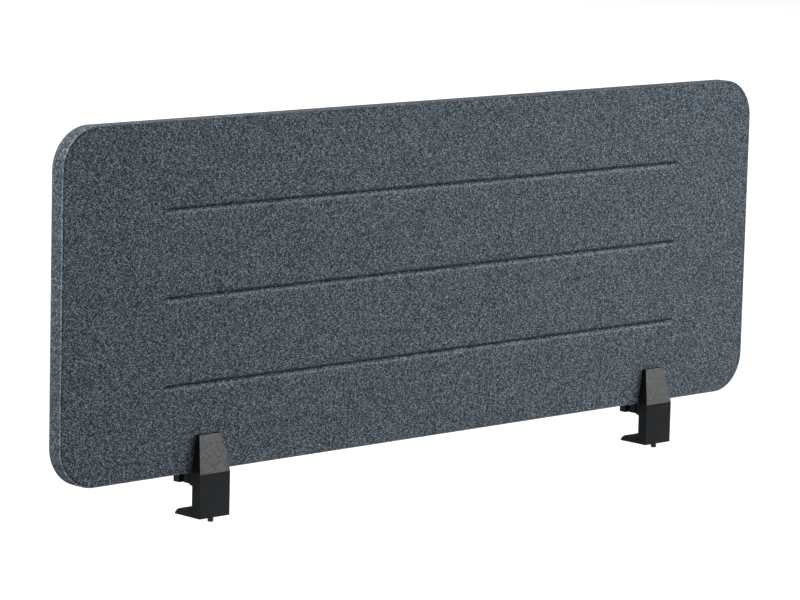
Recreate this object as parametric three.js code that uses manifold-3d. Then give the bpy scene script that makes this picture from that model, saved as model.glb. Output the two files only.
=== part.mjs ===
// Desk privacy panel: a fabric-covered acoustic screen, held on a desk's edge by two screw clamps.
//
// Frame: millimetres, +Z up, +X along the panel. Z = 0 is the desk's top surface, Y = 0 is the plane of
// the desk's edge, and the desk lies on the +Y side. X = 0 is the middle of the panel.

import * as THREE from "three";
import { ConvexGeometry } from "three/addons/geometries/ConvexGeometry.js";
import { mergeVertices } from "three/addons/utils/BufferGeometryUtils.js";
import Module from "manifold-3d";

const wasm = await Module();
wasm.setup();

// ---------------------------------------------------------------- driving dimensions

const PANEL = { length: 1400, height: 500, thickness: 24, cornerRadius: 60 };
const PANEL_FRONT_Y = 3;
const PANEL_BOTTOM_Z = 18;
const PANEL_BACK_Y = PANEL_FRONT_Y + PANEL.thickness;
const COVER = 1;
const FELT = 3.6;
const LAYER_GAP = 0.2;
const EDGE_GAP = 0.3;
const STILE_WIDTH = 70;
const RAIL_HEIGHT = 45;
const GROOVE = { count: 3, length: 1056, width: 7, depth: 2.6, shiftX: 8, liftZ: 2.4 };

const CLAMP_X = { left: -436, right: 486 };
const CLAMP = {
  width: 56,
  frontY: -17,
  rearY: 41,
  bottomZ: -46,
  foldZ: PANEL_BOTTOM_Z,
  lipZ: 72,
  lipWidth: 40,
  lipDepth: 8,
  wall: 3.2,
};
const FIT_GAP = 0.3;
const BEARING_GAP = 0.1;
const GRIP_PAD = 1.2;
const GRIP_PAD_GAP = 0.2;
const DESK_PAD = 2.2;
const THROAT_FILLET = 4;

const SHELF = { halfWidth: 22, endY: 26.5, topZ: 6.5 };
const BODY_REAR_Y = 5.8;
const BOSS = { halfWidth: 26.5, y0: 9.3, y1: 19.3 };
const SADDLE_Z = PANEL_BOTTOM_Z - FIT_GAP;
const CHANNEL = { halfWidth: 20, frontY: -14.5, topZ: -2 };

const JAW = { tipY: 36.5, topZ: -38.8, tipTopZ: -43, slopeStartY: 30, legTopZ: -24 };
const SCREW_RADIUS = 2.5;
const SCREW_HOLE = 2.8;
const SCREW_HEAD = { radius: 4.25, height: 4.8, hexFlats: 4, hexDepth: 2.4 };
const CLAMP_SCREW_Y = -8.5;
const CLAMP_SCREW_TIP_Z = 6;
const CLAMP_SCREW_TRAVEL = 20;
const JAW_COLLAR = { radius: 3.5, height: 2.2 };
const INSERT = { radius: 4.5, y0: -1.7, y1: 10 };

const CROSS_SCREW_Z = 11.5;
const CROSS_SCREW_TIP_Y = 6.2;
const CROSS_HEAD_POCKET = 5.4;
const NUT = { flats: 8, y0: 10.6, y1: 15.6 };
const GUIDE_PIN = { x: 17, radius: 2.5, y0: 10.5, y1: 38.5 };
const TONGUE_HALF_WIDTH = 12;

const ROUND = 24;
const CORNER_STEPS = 10;

// ---------------------------------------------------------------- materials

const finish = (color, roughness, metalness = 0) =>
  new THREE.MeshStandardMaterial({ color, roughness, metalness });
const FABRIC = finish(0x4b5661, 0.95);
const FELT_GREY = finish(0x8d8f90, 1);
const WOOD = finish(0xc8a878, 0.8);
const INFILL = finish(0xe4e2dc, 1);
const BLACK_PLASTIC = finish(0x1d1f20, 0.55);
const RUBBER = finish(0x111111, 0.9);
const STEEL = finish(0x9a9a98, 0.35, 1);
const BLACK_STEEL = finish(0x26262a, 0.45, 0.8);
const BRASS = finish(0xb08d4a, 0.35, 1);

// ---------------------------------------------------------------- solids

/** A closed three.js geometry as a manifold-3d solid. */
function solid(geometry) {
  const bare = geometry.clone();
  bare.deleteAttribute("normal");
  bare.deleteAttribute("uv");
  const merged = mergeVertices(bare, 1e-4);
  return new wasm.Manifold(
    new wasm.Mesh({
      numProp: 3,
      vertProperties: new Float32Array(merged.attributes.position.array),
      triVerts: new Uint32Array(merged.index.array),
    }),
  );
}

/** A manifold-3d solid as a three.js geometry. */
function geometryOf(shape) {
  const mesh = shape.getMesh();
  const geometry = new THREE.BufferGeometry();
  geometry.setAttribute("position", new THREE.BufferAttribute(mesh.vertProperties, 3));
  geometry.setIndex(new THREE.BufferAttribute(mesh.triVerts, 1));
  geometry.computeVertexNormals();
  return geometry;
}

/** A box between two X, two Y and two Z planes. */
function block([x0, x1], [y0, y1], [z0, z1]) {
  const box = new THREE.BoxGeometry(x1 - x0, y1 - y0, z1 - z0);
  return solid(box.translate((x0 + x1) / 2, (y0 + y1) / 2, (z0 + z1) / 2));
}

/** A (Y, Z) outline extruded along X. */
function extrudeAlongX(shape, x0, x1) {
  const geometry = new THREE.ExtrudeGeometry(shape, {
    depth: x1 - x0,
    bevelEnabled: false,
    curveSegments: CORNER_STEPS,
  });
  const turn = new THREE.Matrix4().makeBasis(
    new THREE.Vector3(0, 1, 0),
    new THREE.Vector3(0, 0, 1),
    new THREE.Vector3(1, 0, 0),
  );
  return solid(geometry.applyMatrix4(turn).translate(x0, 0, 0));
}

/** An (X, Z) outline extruded along Y. */
function extrudeAlongY(shape, y0, y1) {
  const geometry = new THREE.ExtrudeGeometry(shape, {
    depth: y1 - y0,
    bevelEnabled: false,
    curveSegments: CORNER_STEPS,
  });
  const turn = new THREE.Matrix4().makeBasis(
    new THREE.Vector3(1, 0, 0),
    new THREE.Vector3(0, 0, 1),
    new THREE.Vector3(0, -1, 0),
  );
  return solid(geometry.applyMatrix4(turn).translate(0, y1, 0));
}

/** A cylinder or prism along Y, centred on the origin, with a corner on the X axis. */
function rod(radius, length, sides) {
  return new THREE.CylinderGeometry(radius, radius, length, sides, 1, false, Math.PI / 2);
}

/** An upright cylinder or prism centred on (x, y). */
function uprightRod(radius, x, y, z0, z1, sides = ROUND) {
  return solid(rod(radius, z1 - z0, sides).rotateX(Math.PI / 2).translate(x, y, (z0 + z1) / 2));
}

/** A cylinder or prism along Y centred on (x, z). */
function crossRod(radius, x, z, y0, y1, sides = ROUND) {
  return solid(rod(radius, y1 - y0, sides).translate(x, (y0 + y1) / 2, z));
}

/** The convex solid that spans two horizontal rectangles, each [x half width, y0, y1, z]. */
function taper(low, high) {
  const corners = [low, high].flatMap(([half, y0, y1, z]) => [
    new THREE.Vector3(-half, y0, z),
    new THREE.Vector3(half, y0, z),
    new THREE.Vector3(half, y1, z),
    new THREE.Vector3(-half, y1, z),
  ]);
  return solid(new ConvexGeometry(corners));
}

/** A closed outline through (a, b) pairs. */
function outline(points) {
  return new THREE.Shape(points.map(([a, b]) => new THREE.Vector2(a, b)));
}

/** A rectangle with rounded corners. */
function roundedRectangle(x0, x1, z0, z1, radius) {
  const shape = new THREE.Shape();
  shape.absarc(x1 - radius, z0 + radius, radius, -Math.PI / 2, 0);
  shape.absarc(x1 - radius, z1 - radius, radius, 0, Math.PI / 2);
  shape.absarc(x0 + radius, z1 - radius, radius, Math.PI / 2, Math.PI);
  shape.absarc(x0 + radius, z0 + radius, radius, Math.PI, 1.5 * Math.PI);
  shape.closePath();
  return shape;
}

/** Circumradius of a regular hexagon with that distance across its flats. */
const hexRadius = (flats) => flats / Math.sqrt(3);

function piece(name, shape, material) {
  const mesh = new THREE.Mesh(geometryOf(shape), material);
  mesh.name = name;
  return mesh;
}

// ---------------------------------------------------------------- panel

/** The panel's outline, drawn in from its edge by inset. */
function panelOutline(inset) {
  return roundedRectangle(
    -PANEL.length / 2 + inset,
    PANEL.length / 2 - inset,
    PANEL_BOTTOM_Z + inset,
    PANEL_BOTTOM_Z + PANEL.height - inset,
    PANEL.cornerRadius - inset,
  );
}

/** The V-shaped channels pressed into a face, grown sideways and in depth by margin. */
function grooves(faceY, inward, margin) {
  const bars = [];
  for (let i = 1; i <= GROOVE.count; i++) {
    const z = PANEL_BOTTOM_Z + (PANEL.height * i) / (GROOVE.count + 1) + GROOVE.liftZ;
    const half = GROOVE.width / 2 + margin;
    const outer = faceY - inward;
    const floor = faceY + inward * (GROOVE.depth + margin);
    const halfAtOuter = half * (1 + 1 / (GROOVE.depth + margin));
    const section = [
      [outer, z - halfAtOuter],
      [floor, z],
      [outer, z + halfAtOuter],
    ];
    const shape = outline(inward > 0 ? section : section.reverse());
    const reach = GROOVE.length / 2 + margin;
    bars.push(extrudeAlongX(shape, GROOVE.shiftX - reach, GROOVE.shiftX + reach));
  }
  return bars;
}

/** One fabric face: a thin sheet that follows the pressed channels. */
function faceCover(faceY, inward) {
  const y = [faceY, faceY + inward * COVER].sort((a, b) => a - b);
  const innerSide = inward > 0 ? [faceY, PANEL_BACK_Y] : [PANEL_FRONT_Y, faceY];
  const halfLength = PANEL.length / 2;
  const inside = block([-halfLength, halfLength], innerSide, [
    PANEL_BOTTOM_Z,
    PANEL_BOTTOM_Z + PANEL.height,
  ]);
  const liners = grooves(faceY, inward, COVER).map((bar) => bar.intersect(inside));
  const sheet = liners.reduce((all, liner) => all.add(liner), extrudeAlongY(panelOutline(0), ...y));
  return grooves(faceY, inward, 0).reduce((all, bar) => all.subtract(bar), sheet);
}

/** The fabric strip round the panel's edge, between the two faces. */
function edgeBand() {
  const y0 = PANEL_FRONT_Y + COVER + LAYER_GAP;
  const y1 = PANEL_BACK_Y - COVER - LAYER_GAP;
  const outer = extrudeAlongY(panelOutline(0), y0, y1);
  return outer.subtract(extrudeAlongY(panelOutline(COVER), y0 - 1, y1 + 1));
}

/** The dense felt sheet under a fabric face. */
function faceFelt(faceY, inward) {
  const near = faceY + inward * (COVER + LAYER_GAP);
  const far = near + inward * FELT;
  const sheet = extrudeAlongY(
    panelOutline(COVER + EDGE_GAP),
    Math.min(near, far),
    Math.max(near, far),
  );
  const pressed = grooves(faceY, inward, COVER + LAYER_GAP);
  return pressed.reduce((all, bar) => all.subtract(bar), sheet);
}

const FRAME_INSET = COVER + EDGE_GAP;
const FRAME_Y = [
  PANEL_FRONT_Y + COVER + FELT + 2 * LAYER_GAP,
  PANEL_BACK_Y - COVER - FELT - 2 * LAYER_GAP,
];
const FRAME_Z = [PANEL_BOTTOM_Z + FRAME_INSET, PANEL_BOTTOM_Z + PANEL.height - FRAME_INSET];
const STILE_INNER_X = PANEL.length / 2 - STILE_WIDTH;

/** An upright of the timber frame, with the panel's rounded corners on its outer side. */
function stile(side) {
  const blank = extrudeAlongY(panelOutline(FRAME_INSET), ...FRAME_Y);
  const x = [STILE_INNER_X, PANEL.length / 2].map((v) => v * side).sort((a, b) => a - b);
  return blank.intersect(block(x, [0, PANEL_BACK_Y], FRAME_Z));
}

function rail(z0, z1) {
  const half = STILE_INNER_X - EDGE_GAP;
  return block([-half, half], FRAME_Y, [z0, z1]);
}

function panelGroup() {
  const group = new THREE.Group();
  const [z0, z1] = FRAME_Z;
  const matHalf = STILE_INNER_X - EDGE_GAP;
  const mat = block([-matHalf, matHalf], FRAME_Y, [
    z0 + RAIL_HEIGHT + EDGE_GAP,
    z1 - RAIL_HEIGHT - EDGE_GAP,
  ]);
  group.add(
    piece("front_cover", faceCover(PANEL_FRONT_Y, 1), FABRIC),
    piece("back_cover", faceCover(PANEL_BACK_Y, -1), FABRIC),
    piece("edge_band", edgeBand(), FABRIC),
    piece("front_felt", faceFelt(PANEL_FRONT_Y, 1), FELT_GREY),
    piece("back_felt", faceFelt(PANEL_BACK_Y, -1), FELT_GREY),
    piece("left_stile", stile(-1), WOOD),
    piece("right_stile", stile(1), WOOD),
    piece("bottom_rail", rail(z0, z0 + RAIL_HEIGHT), WOOD),
    piece("top_rail", rail(z1 - RAIL_HEIGHT, z1), WOOD),
    piece("infill_mat", mat, INFILL),
  );
  return group;
}

// ---------------------------------------------------------------- clamp

const HALF = CLAMP.width / 2;
const LIP_HALF = CLAMP.lipWidth / 2;
const WEDGE_BACK_Y = PANEL_FRONT_Y - GRIP_PAD - GRIP_PAD_GAP - BEARING_GAP;
const WEDGE_LIP_Y = PANEL_FRONT_Y - CLAMP.lipDepth;
const CHEEK_FRONT_Y = PANEL_BACK_Y + GRIP_PAD + GRIP_PAD_GAP + BEARING_GAP;
const CHEEK_LIP_Y = PANEL_BACK_Y + CLAMP.lipDepth;

/** Share of the way from the fold to the lip at height z. */
const rise = (z) => (z - CLAMP.foldZ) / (CLAMP.lipZ - CLAMP.foldZ);
const between = (a, b, share) => a + (b - a) * share;

/** Two hollows that lighten a wedge, open at its inner face and parted by a rib. */
function wedgeHollows(outerBaseY, outerLipY, innerY) {
  const toInner = Math.sign(innerY - outerBaseY);
  const level = (z) => {
    const outer = between(outerBaseY, outerLipY, rise(z)) + toInner * CLAMP.wall;
    const y = [outer, innerY + toInner].sort((a, b) => a - b);
    return [between(HALF, LIP_HALF, rise(z)) - CLAMP.wall, ...y, z];
  };
  const whole = taper(level(CLAMP.foldZ + 14), level(CLAMP.lipZ - 6));
  const rib = block([-CLAMP.wall / 2, CLAMP.wall / 2], [-100, 100], [CLAMP.foldZ, CLAMP.lipZ]);
  return whole.subtract(rib);
}

/** Side outline of the clamp body below the fold: the spine, with the throat's fillet. */
function bodySide() {
  const shape = new THREE.Shape();
  shape.moveTo(CLAMP.frontY, CLAMP.bottomZ);
  shape.lineTo(0, CLAMP.bottomZ);
  shape.lineTo(0, -THROAT_FILLET);
  shape.absarc(THROAT_FILLET, -THROAT_FILLET, THROAT_FILLET, Math.PI, Math.PI / 2, true);
  shape.lineTo(BODY_REAR_Y, 0);
  shape.lineTo(BODY_REAR_Y, SADDLE_Z);
  shape.lineTo(CLAMP.frontY, SADDLE_Z);
  shape.closePath();
  return shape;
}

/** The fixed part: front housing, wedge in front of the panel, and shelf under it. */
function clampBody() {
  const wedge = taper(
    [HALF, CLAMP.frontY, WEDGE_BACK_Y, SADDLE_Z],
    [LIP_HALF, WEDGE_LIP_Y, WEDGE_BACK_Y, CLAMP.lipZ],
  );
  const shelf = block(
    [-SHELF.halfWidth, SHELF.halfWidth],
    [BODY_REAR_Y - 1, SHELF.endY],
    [DESK_PAD, SHELF.topZ],
  );
  const boss = block([-BOSS.halfWidth, BOSS.halfWidth], [BOSS.y0, BOSS.y1], [DESK_PAD, SADDLE_Z]);
  const web = block([-10, 10], [BODY_REAR_Y - 1, BOSS.y0 + 1], [SHELF.topZ - 1, SADDLE_Z - 2]);
  const channel = block(
    [-CHANNEL.halfWidth, CHANNEL.halfWidth],
    [CHANNEL.frontY, 1],
    [CLAMP.bottomZ - 1, CHANNEL.topZ],
  );
  const screwTop = CLAMP_SCREW_TIP_Z + CLAMP_SCREW_TRAVEL + 2;
  const nutHalf = hexRadius(NUT.flats) + FIT_GAP;
  const cuts = [
    wedgeHollows(CLAMP.frontY, WEDGE_LIP_Y, WEDGE_BACK_Y),
    channel,
    uprightRod(SCREW_HOLE, 0, CLAMP_SCREW_Y, CHANNEL.topZ - 1, screwTop),
    uprightRod(INSERT.radius + FIT_GAP, 0, CLAMP_SCREW_Y, CHANNEL.topZ - 1, INSERT.y1 + FIT_GAP),
    crossRod(SCREW_HOLE, 0, CROSS_SCREW_Z, CROSS_SCREW_TIP_Y - 1, BOSS.y1 + 1),
    block(
      [-nutHalf, nutHalf],
      [NUT.y0 - FIT_GAP, NUT.y1 + FIT_GAP],
      [CROSS_SCREW_Z - NUT.flats / 2 - FIT_GAP, SADDLE_Z + 1],
    ),
    ...[-1, 1].map((side) =>
      crossRod(
        GUIDE_PIN.radius + BEARING_GAP,
        side * GUIDE_PIN.x,
        CROSS_SCREW_Z,
        GUIDE_PIN.y0 - FIT_GAP,
        BOSS.y1 + 1,
      ),
    ),
  ];
  const whole = [wedge, shelf, boss, web].reduce(
    (all, part) => all.add(part),
    extrudeAlongX(bodySide(), -HALF, HALF),
  );
  return cuts.reduce((all, cut) => all.subtract(cut), whole);
}

/** A thin trapezoid pad between a wedge and the panel. */
function gripPad(y0) {
  const low = CLAMP.foldZ + 4;
  const high = CLAMP.lipZ - 4;
  const half = (z) => between(HALF, LIP_HALF, rise(z)) - 4;
  const shape = outline([
    [-half(low), low],
    [half(low), low],
    [half(high), high],
    [-half(high), high],
  ]);
  return extrudeAlongY(shape, y0, y0 + GRIP_PAD);
}

/** The cheek behind the panel, with its foot and the tongue under the panel. */
function rearCheek() {
  const foot = block([-HALF, HALF], [CHEEK_FRONT_Y, CLAMP.rearY], [0, CLAMP.foldZ]);
  const wedge = taper(
    [HALF, CHEEK_FRONT_Y, CLAMP.rearY, CLAMP.foldZ],
    [LIP_HALF, CHEEK_FRONT_Y, CHEEK_LIP_Y, CLAMP.lipZ],
  );
  const tongue = block(
    [-TONGUE_HALF_WIDTH, TONGUE_HALF_WIDTH],
    [BOSS.y1 + FIT_GAP, CHEEK_FRONT_Y + 1],
    [SHELF.topZ + FIT_GAP, SADDLE_Z - 1],
  );
  const cuts = [
    wedgeHollows(CLAMP.rearY, CHEEK_LIP_Y, CHEEK_FRONT_Y),
    crossRod(SCREW_HOLE, 0, CROSS_SCREW_Z, BOSS.y1, CLAMP.rearY),
    crossRod(
      SCREW_HEAD.radius + FIT_GAP,
      0,
      CROSS_SCREW_Z,
      CLAMP.rearY - CROSS_HEAD_POCKET,
      CLAMP.rearY + 1,
    ),
    ...[-1, 1].map((side) =>
      crossRod(
        GUIDE_PIN.radius + BEARING_GAP,
        side * GUIDE_PIN.x,
        CROSS_SCREW_Z,
        CHEEK_FRONT_Y - 1,
        GUIDE_PIN.y1 + FIT_GAP,
      ),
    ),
  ];
  return cuts.reduce((all, cut) => all.subtract(cut), foot.add(wedge).add(tongue));
}

/** The rubber pad under the shelf, which rests on the desk's top. */
function upperDeskPad() {
  return block(
    [-SHELF.halfWidth, SHELF.halfWidth],
    [BODY_REAR_Y + FIT_GAP, SHELF.endY - 0.5],
    [0, DESK_PAD - GRIP_PAD_GAP],
  );
}

/** The sliding jaw: a leg inside the housing and an arm under the desk's top. */
function lowerJaw() {
  const arm = outline([
    [FIT_GAP, CLAMP.bottomZ],
    [JAW.tipY - 1, CLAMP.bottomZ],
    [JAW.tipY, CLAMP.bottomZ + 1],
    [JAW.tipY, JAW.tipTopZ],
    [JAW.slopeStartY, JAW.topZ],
    [FIT_GAP, JAW.topZ],
  ]);
  const leg = outline([
    [CHANNEL.frontY + FIT_GAP, CLAMP.bottomZ],
    [FIT_GAP + 1, CLAMP.bottomZ],
    [FIT_GAP + 1, JAW.topZ],
    [-0.5, JAW.topZ],
    [-0.5, JAW.legTopZ],
    [CHANNEL.frontY + FIT_GAP, JAW.legTopZ],
  ]);
  const legHalf = CHANNEL.halfWidth - FIT_GAP;
  const collarZ = CLAMP.bottomZ - JAW_COLLAR.height;
  return extrudeAlongX(arm, -HALF, HALF)
    .add(extrudeAlongX(leg, -legHalf, legHalf))
    .add(uprightRod(JAW_COLLAR.radius, 0, CLAMP_SCREW_Y, collarZ, CLAMP.bottomZ + 1))
    .subtract(
      uprightRod(SCREW_RADIUS + BEARING_GAP, 0, CLAMP_SCREW_Y, collarZ - 1, JAW.legTopZ + 1),
    );
}

/** The rubber pad on the jaw, flat on top with a nose that follows the jaw's tip. */
function lowerDeskPad() {
  const lift = GRIP_PAD_GAP;
  const shape = outline([
    [2.5, JAW.topZ + lift],
    [JAW.slopeStartY, JAW.topZ + lift],
    [JAW.tipY - 1, JAW.tipTopZ + lift + 0.6],
    [JAW.tipY - 1, JAW.tipTopZ + lift + 1.8],
    [JAW.slopeStartY, JAW.topZ + lift + DESK_PAD],
    [2.5, JAW.topZ + lift + DESK_PAD],
  ]);
  return extrudeAlongX(shape, -HALF + 1.5, HALF - 1.5);
}

/** A socket-head screw along its own +Z, its shank's tip at tipZ and its head below headZ. */
function uprightScrew(headZ, tipZ) {
  const { radius, height, hexFlats, hexDepth } = SCREW_HEAD;
  const low = headZ - height;
  const profile = [
    [0, low],
    [radius - 0.5, low],
    [radius, low + 0.5],
    [radius, headZ],
    [SCREW_RADIUS, headZ],
    [SCREW_RADIUS, tipZ - 1],
    [SCREW_RADIUS - 0.8, tipZ],
    [0, tipZ],
  ].map(([r, z]) => new THREE.Vector2(r, z));
  const turned = new THREE.LatheGeometry(profile, ROUND).rotateX(Math.PI / 2);
  const socket = uprightRod(hexRadius(hexFlats), 0, 0, low - 1, low + hexDepth, 6);
  return solid(turned).subtract(socket);
}

function clampScrew() {
  const headZ = CLAMP.bottomZ - JAW_COLLAR.height - GRIP_PAD_GAP;
  return uprightScrew(headZ, CLAMP_SCREW_TIP_Z).translate([0, CLAMP_SCREW_Y, 0]);
}

/** The screw that pulls the rear cheek towards the panel, its head in the cheek's pocket. */
function crossScrew() {
  const headY = CLAMP.rearY - CROSS_HEAD_POCKET + GRIP_PAD_GAP;
  return uprightScrew(-headY, -CROSS_SCREW_TIP_Y)
    .rotate([90, 0, 0])
    .translate([0, 0, CROSS_SCREW_Z]);
}

/** A threaded ring: the brass insert in the housing that the clamp screw climbs. */
function clampInsert() {
  return uprightRod(INSERT.radius, 0, CLAMP_SCREW_Y, INSERT.y0, INSERT.y1).subtract(
    uprightRod(SCREW_RADIUS + BEARING_GAP, 0, CLAMP_SCREW_Y, INSERT.y0 - 1, INSERT.y1 + 1),
  );
}

function crossNut() {
  return crossRod(hexRadius(NUT.flats), 0, CROSS_SCREW_Z, NUT.y0, NUT.y1, 6).subtract(
    crossRod(SCREW_RADIUS + BEARING_GAP, 0, CROSS_SCREW_Z, NUT.y0 - 1, NUT.y1 + 1),
  );
}

const guidePin = (side) =>
  crossRod(GUIDE_PIN.radius, side * GUIDE_PIN.x, CROSS_SCREW_Z, GUIDE_PIN.y0, GUIDE_PIN.y1);

function clampGroup(name, x) {
  const group = new THREE.Group();
  group.position.x = x;
  const frontPadY = PANEL_FRONT_Y - GRIP_PAD - GRIP_PAD_GAP;
  group.add(
    piece(`${name}_clamp_body`, clampBody(), BLACK_PLASTIC),
    piece(`${name}_front_grip_pad`, gripPad(frontPadY), RUBBER),
    piece(`${name}_upper_desk_pad`, upperDeskPad(), RUBBER),
    piece(`${name}_clamp_insert`, clampInsert(), BRASS),
    piece(`${name}_cross_nut`, crossNut(), STEEL),
    piece(`${name}_guide_pin_a`, guidePin(-1), STEEL),
    piece(`${name}_guide_pin_b`, guidePin(1), STEEL),
    piece(`${name}_rear_cheek`, rearCheek(), BLACK_PLASTIC),
    piece(`${name}_rear_grip_pad`, gripPad(PANEL_BACK_Y + GRIP_PAD_GAP), RUBBER),
    piece(`${name}_cross_screw`, crossScrew(), BLACK_STEEL),
    piece(`${name}_lower_jaw`, lowerJaw(), BLACK_PLASTIC),
    piece(`${name}_lower_desk_pad`, lowerDeskPad(), RUBBER),
    piece(`${name}_clamp_screw`, clampScrew(), BLACK_STEEL),
  );
  return group;
}

const root = new THREE.Group();
root.add(panelGroup());
for (const [name, x] of Object.entries(CLAMP_X)) root.add(clampGroup(name, x));

export default root;
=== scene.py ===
"""The looks of a desk privacy panel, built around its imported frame.

The panel is a felt-lined screen stretched with a melange cloth. Its two faces are sewn to an
edge band with a welt. Two moulded clamps grip its bottom edge, and with a sliding jaw and a
screw each they grip a desk's edge. Everything is in metres: +X along the panel, +Z up, and the
desk's edge is the plane Y = 0.
"""

import logging
import math
from collections.abc import Callable, Iterator
from contextlib import contextmanager
from dataclasses import dataclass
from enum import Enum

import bmesh
import bpy
from mathutils import Euler, Matrix, Vector


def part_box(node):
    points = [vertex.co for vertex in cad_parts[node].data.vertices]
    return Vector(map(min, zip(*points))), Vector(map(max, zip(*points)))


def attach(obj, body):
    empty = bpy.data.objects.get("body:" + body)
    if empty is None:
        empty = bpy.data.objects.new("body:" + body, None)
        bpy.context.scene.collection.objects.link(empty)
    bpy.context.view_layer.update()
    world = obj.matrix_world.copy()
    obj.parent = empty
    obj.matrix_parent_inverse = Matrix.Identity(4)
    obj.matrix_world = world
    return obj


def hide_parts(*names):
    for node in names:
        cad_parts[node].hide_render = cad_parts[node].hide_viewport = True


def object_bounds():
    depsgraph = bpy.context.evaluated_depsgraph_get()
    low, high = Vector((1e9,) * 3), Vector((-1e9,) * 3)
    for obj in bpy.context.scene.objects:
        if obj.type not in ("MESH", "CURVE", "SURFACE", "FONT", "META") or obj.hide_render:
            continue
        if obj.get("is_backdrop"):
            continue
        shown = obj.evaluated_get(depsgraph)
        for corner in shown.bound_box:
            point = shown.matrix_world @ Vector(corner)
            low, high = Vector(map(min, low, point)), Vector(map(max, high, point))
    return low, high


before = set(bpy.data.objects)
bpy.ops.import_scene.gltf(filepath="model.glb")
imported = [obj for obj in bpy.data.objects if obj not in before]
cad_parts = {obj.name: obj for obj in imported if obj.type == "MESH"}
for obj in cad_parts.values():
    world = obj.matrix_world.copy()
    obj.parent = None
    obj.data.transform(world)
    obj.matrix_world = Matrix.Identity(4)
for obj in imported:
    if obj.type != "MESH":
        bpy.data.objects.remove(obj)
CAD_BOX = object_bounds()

log = logging.getLogger("privacy_panel")

MM = 0.001
Colour = tuple[float, float, float]
Span = tuple[float, float]
Piece = bpy.types.Object


# ---------------------------------------------------------------- shader maths


class Signal:
    """A value that varies over a surface, with arithmetic that adds Math nodes."""

    def __init__(self, recipe: "Recipe", socket: bpy.types.NodeSocket) -> None:
        """Wraps a socket of one recipe's node tree."""
        self.recipe = recipe
        self.socket = socket

    def math(self, operation: str, *others: "Signal | float") -> "Signal":
        """Adds a Math node.

        Args:
            operation: the Math node's operation.
            others: its second and third inputs.

        Returns:
            The node's value.
        """
        inputs = dict(enumerate((self, *others)))
        made = self.recipe.node("ShaderNodeMath", {"operation": operation}, inputs)
        return Signal(self.recipe, made.outputs[0])

    def __add__(self, other: "Signal | float") -> "Signal":
        """self + other."""
        return self.math("ADD", other)

    def __mul__(self, other: "Signal | float") -> "Signal":
        """self * other."""
        return self.math("MULTIPLY", other)

    def __sub__(self, other: "Signal | float") -> "Signal":
        """self - other."""
        return self.math("SUBTRACT", other)

    def __rsub__(self, other: float) -> "Signal":
        """other - self."""
        return self * -1 + other

    def __truediv__(self, other: float) -> "Signal":
        """self / other."""
        return self.math("DIVIDE", other)

    __radd__ = __add__
    __rmul__ = __mul__

    def whole(self) -> "Signal":
        """The whole number below."""
        return self.math("FLOOR")

    def part(self) -> "Signal":
        """What is left above the whole number."""
        return self.math("FRACT")

    def crown(self) -> "Signal":
        """A yarn's round back over each unit: 0 at both edges and 1 in the middle."""
        across = self.part() * 2 - 1
        return 1 - across * across

    def mix(self, low: "Signal | float", high: "Signal | float") -> "Signal":
        """low where this is 0, high where it is 1."""
        return (1 - self) * low + self * high


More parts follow.
